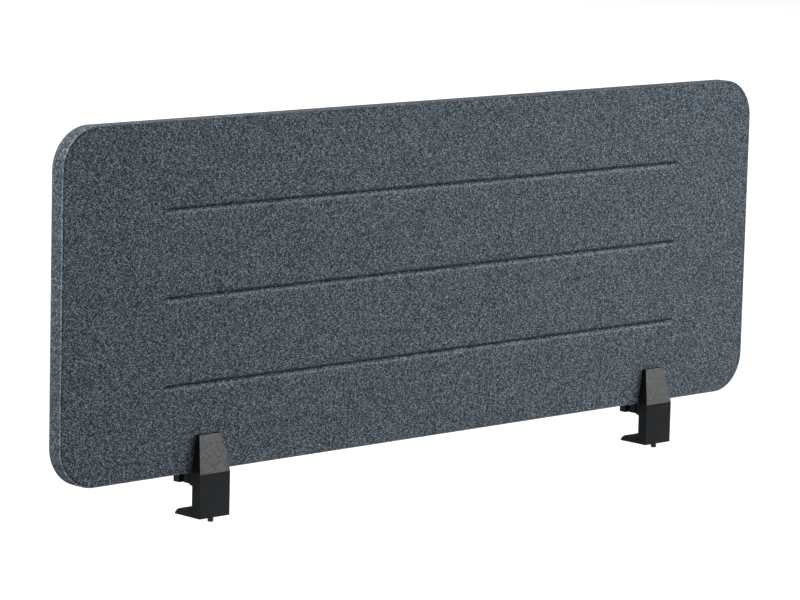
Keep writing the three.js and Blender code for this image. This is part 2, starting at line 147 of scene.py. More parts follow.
class Recipe:
    """One material's node tree round its Principled shader."""

    def __init__(self, name: str, constants: dict[str, float]) -> None:
        """Starts a material whose shader sockets hold these constants.

        Args:
            name: the material's name
            constants: values of the shader's sockets, by name
        """
        self.material = bpy.data.materials.new(name)
        self.material.use_nodes = True
        self.tree = self.material.node_tree
        self.shader = next(n for n in self.tree.nodes if n.type == "BSDF_PRINCIPLED")
        for socket, value in constants.items():
            self.shader.inputs[socket].default_value = value

    def node(
        self, kind: str, settings: dict | None = None, inputs: dict | None = None
    ) -> bpy.types.Node:
        """Adds a node.

        Args:
            kind: its type.
            settings: its properties, set first; "stops" fills a colour ramp.
            inputs: values or links of its sockets, by name or place.

        Returns:
            The node.
        """
        made = self.tree.nodes.new(kind)
        for key, value in (settings or {}).items():
            if key == "stops":
                self._fill(made.color_ramp, value)
            else:
                setattr(made, key, value)
        for key, value in (inputs or {}).items():
            self._give(made.inputs[key], value)
        return made

    @staticmethod
    def _fill(ramp: bpy.types.ColorRamp, stops: list[tuple[float, Colour]]) -> None:
        """Gives a colour ramp its stops.

        Args:
            ramp: the ramp
            stops: each stop's place, from 0 to 1, and its colour
        """
        while len(ramp.elements) < len(stops):
            ramp.elements.new(0.5)
        for element, (place, colour) in zip(ramp.elements, stops):
            element.position = place
            element.color = (*colour, 1)

    def _give(self, socket: bpy.types.NodeSocket, value: object) -> None:
        """Links or sets one socket.

        Args:
            socket: the input
            value: a signal or socket to link, or a value to set
        """
        value = value.socket if isinstance(value, Signal) else value
        if isinstance(value, bpy.types.NodeSocket):
            self.tree.links.new(value, socket)
        else:
            socket.default_value = value

    def noise(self, vector: object, detail: float = 2, roughness: float = 0.5) -> Signal:
        """Smooth noise of one unit's size, from 0 to 1."""
        made = self.node(
            "ShaderNodeTexNoise",
            {"noise_dimensions": "3D"},
            {"Vector": vector, "Scale": 1.0, "Detail": detail, "Roughness": roughness},
        )
        return Signal(self, made.outputs["Fac"])

    def point(self, x: object, y: object, z: object = 0.0) -> bpy.types.NodeSocket:
        """A vector made of three values."""
        return self.node("ShaderNodeCombineXYZ", inputs={"X": x, "Y": y, "Z": z}).outputs[0]

    def colour(self, value: Signal, stops: list[tuple[float, Colour]]) -> None:
        """Drives the base colour by a ramp on a value."""
        ramp = self.node("ShaderNodeValToRGB", {"stops": stops}, {"Fac": value})
        self.tree.links.new(ramp.outputs["Color"], self.shader.inputs["Base Color"])

    def roughness(self, value: Signal) -> None:
        """Drives the roughness."""
        self.tree.links.new(value.socket, self.shader.inputs["Roughness"])

    def coat(self, value: Signal) -> None:
        """Drives how much of a clear coat the surface carries."""
        self.tree.links.new(value.socket, self.shader.inputs["Coat Weight"])

    def relief(self, height: Signal, depth: float, strength: float = 1.0) -> None:
        """Raises the surface by height times depth, in metres."""
        bump = self.node(
            "ShaderNodeBump", inputs={"Strength": strength, "Distance": depth, "Height": height}
        )
        self.tree.links.new(bump.outputs["Normal"], self.shader.inputs["Normal"])


# ---------------------------------------------------------------- finishes


@dataclass(frozen=True)
class Melange:
    """Plain-woven cloth of mixed light and dark fibres, laid on the piece's own "weave" map.

    slub and hair are noise sizes along and across the yarn. yarn_step sets each weft and warp
    yarn's noise apart from the next, and slices does so for the noises of warp, slub, hair and
    cloud. The tones weigh the noises in the colour and the lifts weigh them in the relief.
    """

    name: str
    stops: tuple[tuple[float, Colour], ...]
    pitch: float = 1.4 * MM
    fleck: float = 4.8 * MM
    slub: Span = (3.6 * MM, 0.8 * MM)
    hair: Span = (1.1 * MM, 0.35 * MM)
    cloud: float = 60 * MM
    yarn_step: Span = (7.31, 5.17)
    slices: tuple[float, float, float, float] = (40.0, 80.0, 9.0, 20.0)
    warp_share: float = 0.5
    fibre_tone: float = 0.61
    slub_tone: float = 0.46
    hair_tone: float = 0.08
    cloud_tone: float = 0.01
    tone_drop: float = 0.082
    # The next tone sets how far painted shade darkens the cloth and painted highlight lightens it.
    painted_light_tone: float = 0.075
    crown_lift: float = 0.6
    slub_lift: float = 0.7
    hair_lift: float = 0.25
    depth: float = 0.4 * MM

    def build(self) -> bpy.types.Material:
        """Makes the material.

        Returns:
            The material.
        """
        r = Recipe(
            self.name,
            {
                "Roughness": 0.95,
                "Specular IOR Level": 0.05,
                "Sheen Weight": 0.02,
                "Sheen Roughness": 0.5,
            },
        )
        weave = r.node("ShaderNodeUVMap", {"uv_map": "weave"})
        split = r.node("ShaderNodeSeparateXYZ", inputs={"Vector": weave.outputs["UV"]})
        along, across = (Signal(r, split.outputs[axis]) for axis in "XY")
        warp, weft = along / self.pitch, across / self.pitch
        over = ((warp.whole() + weft.whole()) / 2).part() * 2
        weft_step, warp_step = self.yarn_step
        warp_slice, slub_slice, hair_slice, cloud_slice = self.slices
        weft_fibre = r.noise(r.point(along / self.fleck, weft.whole() * weft_step), 1)
        warp_fibre = r.noise(r.point(warp.whole() * warp_step, across / self.fleck, warp_slice), 1)
        fibre = over.mix(warp_fibre * self.warp_share + (1 - self.warp_share) / 2, weft_fibre)
        slub = r.noise(r.point(along / self.slub[0], across / self.slub[1], slub_slice), 2, 0.65)
        hair = r.noise(r.point(along / self.hair[0], across / self.hair[1], hair_slice), 2)
        cloud = r.noise(r.point(along / self.cloud, across / self.cloud, cloud_slice), 2)
        tone = fibre * self.fibre_tone + slub * self.slub_tone + hair * self.hair_tone
        tone = tone + cloud * self.cloud_tone - self.tone_drop
        # Painted light: a per-point mark darkens the colour as painted shade in the channels, in
        # the seams' creases and on the welts' tops and bottoms, and lightens it as a painted
        # highlight on the channels' lower lips.
        mark = r.node("ShaderNodeAttribute", {"attribute_name": "pressed"})
        pressed = Signal(r, mark.outputs["Fac"])
        r.colour(tone - pressed * self.painted_light_tone, list(self.stops))
        crowns = over.mix(
            warp.crown() * (weft.crown() * 0.5 + 0.5), weft.crown() * (warp.crown() * 0.5 + 0.5)
        )
        height = crowns * self.crown_lift + slub * self.slub_lift + hair * self.hair_lift
        r.relief(height, self.depth, 0.8)
        return r.material


@dataclass(frozen=True)
class Solid:
    """A solid stuff whose colour, roughness and relief follow a stretched noise and a wide one.

    grain is the stretched noise's size along X, Y and Z, and depth how far it stands out, in
    metres. mottle is how much it dulls the surface and polish how much clear coat it brings
    above the level bare. wear_scale is how often the wide noise repeats in a metre.
    """

    name: str
    low: Colour
    high: Colour
    roughness: Span
    grain: tuple[float, float, float]
    depth: float = 0.0
    metallic: float = 0.0
    specular: float = 0.5
    mottle: float = 0.04
    polish: float = 0.0
    bare: float = 0.3
    coat_roughness: float = 0.22
    wear_scale: float = 45.0
    grain_tone: float = 0.7
    wear_tone: float = 0.3

    def build(self) -> bpy.types.Material:
        """Makes the material.

        Returns:
            The material.
        """
        r = Recipe(
            self.name,
            {
                "Metallic": self.metallic,
                "Specular IOR Level": self.specular,
                "Coat Roughness": self.coat_roughness,
            },
        )
        place = r.node("ShaderNodeTexCoord")
        scale = tuple(1 / size for size in self.grain)
        turned = r.node(
            "ShaderNodeMapping", inputs={"Vector": place.outputs["Object"], "Scale": scale}
        )
        grain = r.noise(turned.outputs["Vector"], 3, 0.6)
        wide = r.node(
            "ShaderNodeMapping",
            inputs={"Vector": place.outputs["Object"], "Scale": (self.wear_scale,) * 3},
        )
        wear = r.noise(wide.outputs["Vector"], 2)
        tone = grain * self.grain_tone + wear * self.wear_tone
        r.colour(tone, [(0.3, self.low), (0.7, self.high)])
        r.roughness(wear.mix(*self.roughness) + grain * self.mottle)
        if self.polish:
            r.coat((grain - self.bare) * self.polish)
        if self.depth:
            r.relief(grain, self.depth, 0.7)
        return r.material


SLATE = Melange(
    "slate_melange",
    (
        (0.42, (0.0014, 0.0022, 0.0032)),
        (0.48, (0.0076, 0.0105, 0.0136)),
        (0.53, (0.0235, 0.0294, 0.0345)),
        (0.59, (0.0840, 0.0995, 0.1115)),
    ),
)
# The welts' cloth is lighter than the faces' cloth: a painted highlight along each seam.
WELT_HIGHLIGHT = Melange(
    "seam_thread",
    (
        (0.42, (0.010, 0.013, 0.016)),
        (0.50, (0.046, 0.056, 0.065)),
        (0.58, (0.130, 0.150, 0.168)),
    ),
)
DARK_PINE = (0.36, 0.22, 0.10)
PALE_PINE = (0.66, 0.46, 0.26)


class Finish(Enum):
    """The solid stuffs of the frame and the clamps."""

    MOULDED = Solid(
        "black_moulding",
        low=(0.002, 0.0024, 0.0028),
        high=(0.0045, 0.005, 0.0055),
        roughness=(0.18, 0.24),
        grain=(3.4 * MM,) * 3,
        depth=0.004 * MM,
        specular=0.03,
        polish=0.22,
    )
    RUBBER = Solid(
        "black_rubber",
        low=(0.004, 0.004, 0.004),
        high=(0.009, 0.009, 0.009),
        roughness=(0.75, 0.9),
        grain=(0.45 * MM,) * 3,
        depth=0.08 * MM,
        specular=0.12,
    )
    BLACKED = Solid(
        "black_oxide",
        low=(0.012, 0.012, 0.013),
        high=(0.024, 0.024, 0.026),
        roughness=(0.3, 0.42),
        grain=(0.6 * MM,) * 3,
        depth=0.02 * MM,
        metallic=0.9,
    )
    ZINC = Solid(
        "zinc_steel",
        low=(0.42, 0.43, 0.44),
        high=(0.62, 0.62, 0.60),
        roughness=(0.25, 0.42),
        grain=(6 * MM, 0.4 * MM, 0.4 * MM),
        depth=0.02 * MM,
        metallic=1,
    )
    BRASS = Solid(
        "machined_brass",
        low=(0.52, 0.36, 0.14),
        high=(0.70, 0.52, 0.24),
        roughness=(0.25, 0.38),
        grain=(0.4 * MM, 0.4 * MM, 4 * MM),
        depth=0.01 * MM,
        metallic=1,
    )
    STILE = Solid(
        "upright_pine",
        low=DARK_PINE,
        high=PALE_PINE,
        roughness=(0.6, 0.75),
        grain=(3 * MM, 3 * MM, 90 * MM),
        depth=0.15 * MM,
    )
    RAIL = Solid(
        "level_pine",
        low=DARK_PINE,
        high=PALE_PINE,
        roughness=(0.6, 0.75),
        grain=(90 * MM, 3 * MM, 3 * MM),
        depth=0.15 * MM,
    )
    FELT = Solid(
        "pressed_felt",
        low=(0.16, 0.165, 0.17),
        high=(0.36, 0.365, 0.37),
        roughness=(0.95, 1),
        grain=(1.5 * MM,) * 3,
        depth=0.4 * MM,
        specular=0.1,
    )
    WADDING = Solid(
        "polyester_wadding",
        low=(0.62, 0.61, 0.58),
        high=(0.82, 0.81, 0.78),
        roughness=(0.95, 1),
        grain=(4 * MM,) * 3,
        depth=0.8 * MM,
        specular=0.1,
    )


# ---------------------------------------------------------------- bench work


class Part(Enum):
    """What is picked in edit mode: the select mode and the mesh layer it reads."""

    FACE = "faces"
    EDGE = "edges"
    VERT = "verts"


def only(*chosen: Piece) -> None:
    """Selects these objects alone and makes the first one active.

    Args:
        chosen: the objects, or none to deselect everything
    """
    bpy.ops.object.select_all(action="DESELECT")
    for each in chosen:
        each.select_set(True)
    bpy.context.view_layer.objects.active = chosen[0] if chosen else None


def settled(name: str) -> Piece:
    """Names the active object and puts its place, turn and scale into its mesh.

    Args:
        name: the new name

    Returns:
        The object.
    """
    made = bpy.context.active_object
    made.name = made.data.name = name
    bpy.ops.object.transform_apply(location=True, rotation=True, scale=True)
    return made


def block(name: str, x: Span, y: Span, z: Span) -> Piece:
    """Adds a box.

    Args:
        name: its name.
        x: its two X planes.
        y: its two Y planes.
        z: its two Z planes.

    Returns:
        The box.
    """
    only()
    centre = [(a + b) / 2 for a, b in (x, y, z)]
    size = [b - a for a, b in (x, y, z)]
    bpy.ops.mesh.primitive_cube_add(size=1, location=centre, scale=size)
    return settled(name)


def rod(name: str, radius: float, start: Vector, end: Vector, sides: int = 48) -> Piece:
    """Adds a cylinder or prism.

    Args:
        name: its name.
        radius: its radius to the corners.
        start: the middle of one end.
        end: the middle of the other.
        sides: how many sides it has.

    Returns:
        The cylinder.
    """
    only()
    start, end = Vector(start), Vector(end)
    bpy.ops.mesh.primitive_cylinder_add(
        vertices=sides,
        radius=radius,
        depth=(end - start).length,
        location=(start + end) / 2,
        rotation=(end - start).to_track_quat("Z", "X").to_euler(),
    )
    return settled(name)


@contextmanager
def editing(piece: Piece) -> Iterator[None]:
    """Edit mode on one piece.

    Args:
        piece: the piece to edit

    Yields:
        Nothing.
    """
    only(piece)
    bpy.ops.object.mode_set(mode="EDIT")
    try:
        yield
    finally:
        bpy.ops.object.mode_set(mode="OBJECT")


def pick(part: Part, test: Callable[[Vector, Vector], bool]) -> None:
    """Selects what passes a test, in edit mode.

    Args:
        part: faces, edges or vertices.
        test: given a place and a direction: a face's centre and normal, an edge's middle and
            run, or a vertex and its normal.
    """
    data = bpy.context.edit_object.data
    bpy.ops.mesh.select_mode(type=part.name)
    bpy.ops.mesh.select_all(action="DESELECT")
    mesh = bmesh.from_edit_mesh(data)
    for each in getattr(mesh, part.value):
        if part is Part.FACE:
            place, way = each.calc_center_median(), each.normal
        elif part is Part.EDGE:
            ends = [v.co for v in each.verts]
            place, way = (ends[0] + ends[1]) / 2, (ends[1] - ends[0]).normalized()
        else:
            place, way = each.co, each.normal
        each.select_set(bool(test(place, way)))
    mesh.select_flush_mode()
    bmesh.update_edit_mesh(data)


def slice_at(point: Vector, normal: Vector) -> None:
    """Cuts an edge loop where a plane meets the piece, in edit mode."""
    bpy.ops.mesh.select_all(action="SELECT")
    bpy.ops.mesh.bisect(plane_co=point, plane_no=normal)


def pull(offset: Vector) -> None:
    """Extrudes the picked faces by an offset, in edit mode."""
    bpy.ops.mesh.extrude_region_move(TRANSFORM_OT_translate={"value": offset})


def combine(piece: Piece, operation: str, *tools: Piece) -> None:
    """Welds tools to a piece or cuts them away, one by one, and uses them up.

    Args:
        piece: the piece.
        operation: UNION or DIFFERENCE.
        tools: what is welded on or cut away.
    """
    for tool in tools:
        joint = piece.modifiers.new("combine", "BOOLEAN")
        joint.operation, joint.solver, joint.object = operation, "EXACT", tool
        only(piece)
        bpy.ops.object.modifier_apply(modifier=joint.name)
        bpy.data.objects.remove(tool)


def soften(piece: Piece, radius: float, segments: int = 3, angle: float = 11) -> None:
    """Rounds a piece's sharp edges and keeps its flat faces flat.

    Args:
        piece: the piece.
        radius: how far the rounding reaches in from each edge.
        segments: how many faces make it.
        angle: the least turn of a sharp edge, in degrees.
    """
    only(piece)
    bpy.ops.object.shade_smooth()
    round_over = piece.modifiers.new("soften", "BEVEL")
    round_over.width, round_over.segments = radius, segments
    round_over.angle_limit = math.radians(angle)
    round_over.harden_normals = True
    bpy.ops.object.modifier_apply(modifier=round_over.name)


def near(a: float, b: float, slack: float = 0.05 * MM) -> bool:
    """Whether two lengths agree."""
    return abs(a - b) < slack


def unit(value: float) -> float:
    """A value held between 0 and 1."""
    return min(1.0, max(0.0, value))


def bell(offset: float, width: float) -> float:
    """A smooth hump: 1 where the offset is 0, falling off over the width."""
    return math.exp(-((offset / width) ** 2))


class Wardrobe:
    """Makes each finish once and hands pieces over to the frame."""

    def __init__(self) -> None:
        """Starts with no material made."""
        self.made: dict[str, bpy.types.Material] = {}

    def dress(self, piece: Piece, finish: Melange | Finish) -> None:
        """Gives a piece its material.

        Args:
            piece: the piece
            finish: what it is made of
        """
        stuff = finish.value if isinstance(finish, Finish) else finish
        if stuff.name not in self.made:
            self.made[stuff.name] = stuff.build()
        piece.data.materials.clear()
        piece.data.materials.append(self.made[stuff.name])

    def hand_over(
        self, piece: Piece, finish: Melange | Finish, body: str, slot: str, *nodes: str
    ) -> Piece:
        """Dresses a piece, rides it on a body and hides the CAD nodes it stands for.

        Args:
            piece: the piece.
            finish: what it is made of.
            body: the body that it rides on.
            slot: the frame's material slot; not used.
            nodes: the CAD nodes that it stands for, if any.

        Returns:
            The piece.
        """
        self.dress(piece, finish)
        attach(piece, body)
        if nodes:
            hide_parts(*nodes)
        log.info("%s: %d faces on %s", piece.name, len(piece.data.polygons), body)
        return piece


def woven_grid(
    name: str, columns: int, rows: int, place: Callable[[int, int], tuple[Vector, Span]]
) -> Piece:
    """Adds a sheet of quads and lays its weave.

    Args:
        name: the piece's name.
        columns: how many quads it has one way.
        rows: how many the other way.
        place: gives a grid point's place and its place on the weave, in metres. A closed way
            returns to its first points, which are then merged.

    Returns:
        The sheet, with a "weave" map.
    """
    only()
    bpy.ops.mesh.primitive_grid_add(x_subdivisions=columns, y_subdivisions=rows, size=2)
    sheet = settled(name)
    corners = [
        place(round((v.co.x + 1) / 2 * columns), round((v.co.y + 1) / 2 * rows))
        for v in sheet.data.vertices
    ]
    while sheet.data.uv_layers:
        sheet.data.uv_layers.remove(sheet.data.uv_layers[0])
    weave = sheet.data.uv_layers.new(name="weave")
    for loop in sheet.data.loops:
        weave.data[loop.index].uv = corners[loop.vertex_index][1]
    for vertex, (point, _) in zip(sheet.data.vertices, corners):
        vertex.co = point
    with editing(sheet):
        bpy.ops.mesh.select_all(action="SELECT")
        bpy.ops.mesh.remove_doubles(threshold=0.01 * MM)
    only(sheet)
    bpy.ops.object.shade_smooth()
    return sheet


# ---------------------------------------------------------------- the panel


@dataclass
class Outline:
    """The panel's edge: a rectangle with round corners, walked by its length."""

    half_length: float
    half_height: float
    middle: float
    radius: float

    @property
    def length(self) -> float:
        """The way once round."""
        straight = 4 * (self.half_length + self.half_height - 2 * self.radius)
        return straight + 2 * math.pi * self.radius

    def at(self, run: float, inset: float) -> tuple[float, float]:
        """The (X, Z) place of a point.

        Args:
            run: the way walked from the middle of the bottom edge, anticlockwise from the front.
            inset: how far it lies inside the edge.

        Returns:
            X and Z.
        """
        run %= self.length
        flat_x, flat_z = self.half_length - self.radius, self.half_height - self.radius
        quarter = math.pi / 2 * self.radius
        reach = self.radius - inset
        legs = [
            (flat_x, (0, -flat_z), (1, 0)),
            (2 * flat_z, (flat_x, -flat_z), (0, 1)),
            (2 * flat_x, (flat_x, flat_z), (-1, 0)),
            (2 * flat_z, (-flat_x, flat_z), (0, -1)),
            (flat_x, (-flat_x, -flat_z), (1, 0)),
        ]
        for straight, start, way in legs:
            out = (way[1], -way[0])
            if run <= straight or way == (1, 0) and start[0] < 0:
                x, z = (start[k] + way[k] * run + out[k] * reach for k in (0, 1))
                return x, self.middle + z
            run -= straight
            corner = [start[k] + way[k] * straight for k in (0, 1)]
            if run <= quarter:
                turn = run / self.radius
                x, z = (
                    corner[k] + reach * (out[k] * math.cos(turn) + way[k] * math.sin(turn))
                    for k in (0, 1)
                )
                return x, self.middle + z
            run -= quarter
        raise ValueError("the walk left the outline")


@dataclass
class Panel:
    """The upholstered screen: two cloth faces, the band between them and the seams' welts."""

    wardrobe: Wardrobe
    corner_radius: float = 60 * MM
    seam_inset: float = 1.0 * MM
    sink: float = 0.3 * MM
    cloth: float = 0.6 * MM
    groove_half_length: float = 527 * MM
    groove_shift: float = 8 * MM
    groove_lift: float = 2.4 * MM
    groove_depth: float = 2.8 * MM
    groove_width: float = 1.8 * MM
    # The shade and lip settings place the painted shade under each channel's upper lip and the
    # painted highlight on its lower lip.
    shade_rise: float = -0.1 * MM
    shade_width: float = 1.9 * MM
    shade_fade: float = 6 * MM
    lip_drop: float = 5.8 * MM
    lip_width: float = 2.0 * MM
    lip_light: float = 0.55
    groove_fade: float = 14 * MM
    crease_depth: float = 0.9 * MM
    crease_width: float = 1.3 * MM
    # The fold settings place the painted shade in the crease along the seam, strongest at the
    # upright sides.
    fold_inset: float = 1.4 * MM
    fold_share: float = 0.8
    fold_shade: float = 0.1
    dimple_depth: float = 0.45 * MM
    dimple_width: float = 6 * MM
    welt_radius: float = 1.35 * MM
    welt_sides: int = 8
    welt_stand: float = 0.75
    # Painted shade on the welts along the top and the bottom.
    welt_shade: float = 0.75
    stitch: float = 3.4 * MM
    stitch_pinch: float = 0.78
    upright_share: float = 0.7
    band_crown: float = 0.25 * MM
    band_gap: float = 1.4 * MM
    band_seat: float = 0.55
    band_step: float = 6 * MM
    band_rows: int = 8
    corner_rows: int = 14
    groove_rows: int = 22
    groove_reach: float = 9 * MM
    flat_rows: int = 34
    flat_columns: int = 110
    fade_step: float = 2.5 * MM
    seam_step: float = 0.7 * MM
    column_gap: float = 5 * MM

    def __post_init__(self) -> None:
        """Takes the panel's place and size from the frame."""
        low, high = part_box("front_cover")[0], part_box("back_cover")[1]
        self.front, self.back = low.y, high.y
        self.half = Vector(((high.x - low.x) / 2, 0, (high.z - low.z) / 2))
        self.middle = (high.z + low.z) / 2
        self.outline = Outline(self.half.x, self.half.z, self.middle, self.corner_radius)
        self.grooves = [self.middle + self.groove_lift + k * self.half.z / 2 for k in (-1, 0, 1)]

    def build(self) -> None:
        """Makes every cloth piece and dresses what is inside."""
        for name, side in (("front", -1), ("back", 1)):
            self._face(name, side)
        self._band()
        for node, finish in {
            "front_felt": Finish.FELT,
            "back_felt": Finish.FELT,
            "left_stile": Finish.STILE,
            "right_stile": Finish.STILE,
            "bottom_rail": Finish.RAIL,
            "top_rail": Finish.RAIL,
            "infill_mat": Finish.WADDING,
        }.items():
            self.wardrobe.dress(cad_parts[node], finish)

    def _rows(self) -> list[float]:
        """Sets out a face's rows, close at the grooves and round the corners.

        Returns:
            Their heights over the panel's middle.
        """
        top, flat = self.half.z - self.seam_inset, self.half.z - self.corner_radius
        reach, turns = self.corner_radius - self.seam_inset, self.corner_rows
        corner = [flat + reach * math.sin(math.pi / 2 * k / turns) for k in range(turns)] + [top]
        close, steps = self.groove_reach, self.groove_rows
        levels = [z - self.middle for z in self.grooves]
        fine = [g + close * (2 * k / steps - 1) for g in levels for k in range(steps + 1)]
        coarse = [flat * (k / self.flat_rows * 2 - 1) for k in range(1, self.flat_rows)]
        clear = [z for z in coarse if all(abs(z - g) > close * 1.3 for g in levels)]
        return sorted([-z for z in corner] + clear + fine + corner)

    def _columns(self) -> list[float]:
        """Sets out a face's columns, close where the grooves fade out and at the seams.

        Returns:
            Their X places.
        """
        end = self.half.x - self.seam_inset
        steps = [self.groove_half_length + k * self.fade_step for k in range(-8, 4)]
        ends = [self.groove_shift + way * x for way in (-1, 1) for x in steps]
        ends += [way * (end - k * self.seam_step) for way in (-1, 1) for k in range(1, 6)]
        coarse = [end * (k / self.flat_columns * 2 - 1) for k in range(self.flat_columns + 1)]
        clear = [
            x
            for x in coarse
            if abs(x) == end or all(abs(x - other) > self.column_gap for other in ends)
        ]
        return sorted(clear + ends)

    def _squeeze(self, x: float, height: float) -> float:
        """Draws a column in where the corner's arc passes.

        Args:
            x: the column's own X
            height: the point's height over the middle

        Returns:
            The X where the column passes that height.
        """
        over = max(0.0, abs(height) - (self.half.z - self.corner_radius))
        reach = self.corner_radius - self.seam_inset
        inner = self.half.x - 2 * self.corner_radius
        full = self.half.x - self.seam_inset
        if abs(x) <= inner:
            return x
        edge = self.half.x - self.corner_radius + math.sqrt(max(0.0, reach**2 - over**2))
        share = (abs(x) - inner) / (full - inner)
        return math.copysign(inner + share * (edge - inner), x)

    def _press(self, x: float, height: float) -> float:
        """How deep the cloth lies in the pressed channels and in the crease along its seam.

        Args:
            x: the point's X.
            height: its height over the middle.

        Returns:
            The depth below the face.
        """
        left = self.groove_half_length - abs(x - self.groove_shift)
        fade = unit(left / self.groove_fade)
        fade = fade * fade * (3 - 2 * fade)
        across = min(abs(height - (z - self.middle)) for z in self.grooves)
        pressed = self.groove_depth * bell(across, self.groove_width)
        dimple = self.dimple_depth * bell(across, self.dimple_width)
        crease = self.crease_depth * bell(self._margin(x, height), self.crease_width)
        return fade * (pressed + dimple) + crease

    def _mark_painted_light(self, piece: Piece, measure: Callable[[float, float], float]) -> None:
        """Marks the painted light on a cloth: painted shade where the mark is above 0, painted
        highlight where it is below.

        Args:
            piece: the cloth.
            measure: gives the mark by a point's X and its height over the middle.
        """
        mark = piece.data.attributes.new("pressed", "FLOAT", "POINT")
        for vertex, value in zip(piece.data.vertices, mark.data):
            value.value = measure(vertex.co.x, vertex.co.z - self.middle)

    def _sheet_painted_light(self, x: float, height: float) -> float:
        """A face's painted light: painted shade under a channel's upper lip and in the crease
        along the seam, most at the upright sides, and a painted highlight on the lower lip.

        Args:
            x: the point's X.
            height: its height over the middle.

        Returns:
            How much painted shade the point takes; below 0, how much painted highlight.
        """
        across = min((height - (z - self.middle) for z in self.grooves), key=abs)
        left = self.groove_half_length - abs(x - self.groove_shift)
        shade = bell(across - self.shade_rise, self.shade_width)
        lip = self.lip_light * bell(across + self.lip_drop, self.lip_width)
        channel = unit(left / self.shade_fade) * (shade - lip)
        inside = self._margin(x, height) - self.fold_inset
        crease = bell(inside, self.fold_share * self.crease_width)
        return channel + crease * (self.fold_shade + (1 - self.fold_shade) * self._upright(x))

    def _welt_painted_shade(self, x: float, _: float) -> float:
        """A welt's painted shade: it darkens the welt's painted highlight along the top and the
        bottom.
        """
        return self.welt_shade * (1 - self._upright(x))

    def _upright(self, x: float) -> float:
        """1 at the panel's upright sides, falling to 0 through the corners."""
        over = abs(x) - (self.half.x - self.corner_radius)
        return unit(over / (self.upright_share * self.corner_radius))

    def _margin(self, x: float, height: float) -> float:
        """How far a point of a face lies inside its seam.

        Args:
            x: the point's X
            height: its height over the middle

        Returns:
            The distance from the seam.
        """
        over_x = abs(x) - (self.half.x - self.corner_radius)
        over_z = abs(height) - (self.half.z - self.corner_radius)
        reach = self.corner_radius - self.seam_inset
        if over_x > 0 and over_z > 0:
            return max(0.0, reach - math.hypot(over_x, over_z))
        return max(0.0, reach - max(over_x, over_z))

    def _face(self, name: str, side: int) -> None:
        """Makes one cloth face with its welt.

        Args:
            name: front or back.
            side: -1 at the front and 1 at the back.
        """
        rows, columns = self._rows(), self._columns()
        surface = (self.front if side < 0 else self.back) - side * self.sink

        def place(i: int, j: int) -> tuple[Vector, Span]:
            """Where a grid point of the face lies, and where on the weave."""
            x = self._squeeze(-side * columns[i], rows[j])
            z = self.middle + rows[j]
            return Vector((x, surface - side * self._press(x, rows[j]), z)), (x + side, z)

        sheet = woven_grid(f"{name}_cloth_face", len(columns) - 1, len(rows) - 1, place)
        self._thicken(sheet)
        # Paints shade into the face's colour under the channels' upper lips and in the seam's
        # crease, and a highlight on the lower lips.
        self._mark_painted_light(sheet, self._sheet_painted_light)
        welt = self._welt(
            f"{name}_seam_welt", surface - side * self.welt_stand * self.welt_radius
        )
        # Paints shade into the welt's colour along the top and the bottom.
        self._mark_painted_light(welt, self._welt_painted_shade)
        self.wardrobe.hand_over(welt, WELT_HIGHLIGHT, "panel", "fabric")
        self.wardrobe.hand_over(sheet, SLATE, "panel", "fabric", f"{name}_cover")

    def _thicken(self, piece: Piece) -> None:
        """Gives a sheet the cloth's thickness, inwards."""
        thickness = piece.modifiers.new("cloth", "SOLIDIFY")
        thickness.thickness, thickness.offset = self.cloth, -1
        only(piece)
        bpy.ops.object.modifier_apply(modifier=thickness.name)

    def _welt(self, name: str, y: float) -> Piece:
        """Makes the sewn ridge on a seam: a cord of cloth that every stitch pinches.

        Args:
            name: the welt's name.
            y: the Y of its middle line.

        Returns:
            The welt.
        """
        steps = 2 * round(self.outline.length / self.stitch)
        sides = self.welt_sides

        def place(i: int, j: int) -> tuple[Vector, Span]:
            """Where a grid point of the welt lies, and where on the weave."""
            run = self.outline.length * i / steps
            turn = 2 * math.pi * j / sides
            radius = self.welt_radius * (1.0 if i % 2 else self.stitch_pinch)
            inset = self.seam_inset - radius * math.cos(turn)
            x, z = self.outline.at(run, inset)
            return Vector((x, y + radius * math.sin(turn), z)), (run, turn * self.welt_radius)

        welt = woven_grid(name, steps, sides, place)
        with editing(welt):
            bpy.ops.mesh.select_all(action="SELECT")
            bpy.ops.mesh.normals_make_consistent(inside=False)
        return welt

    def _band(self) -> None:
        """Makes the strip of cloth round the panel's edge."""
        start, end = self.front + self.band_gap, self.back - self.band_gap
        steps, rows = round(self.outline.length / self.band_step), self.band_rows

        def place(i: int, j: int) -> tuple[Vector, Span]:
            """Where a grid point of the band lies, and where on the weave."""
            run, share = self.outline.length * i / steps, j / rows
            crown = self.band_crown * (1 - (2 * share - 1) ** 2)
            x, z = self.outline.at(run, self.seam_inset * self.band_seat - crown)
            return Vector((x, start + (end - start) * share, z)), (run, share * (end - start))

        band = woven_grid("edge_cloth_band", steps, rows, place)
        self._thicken(band)
        self.wardrobe.hand_over(band, SLATE, "panel", "fabric", "edge_band")
        self.outline.length


# ---------------------------------------------------------------- the clamps


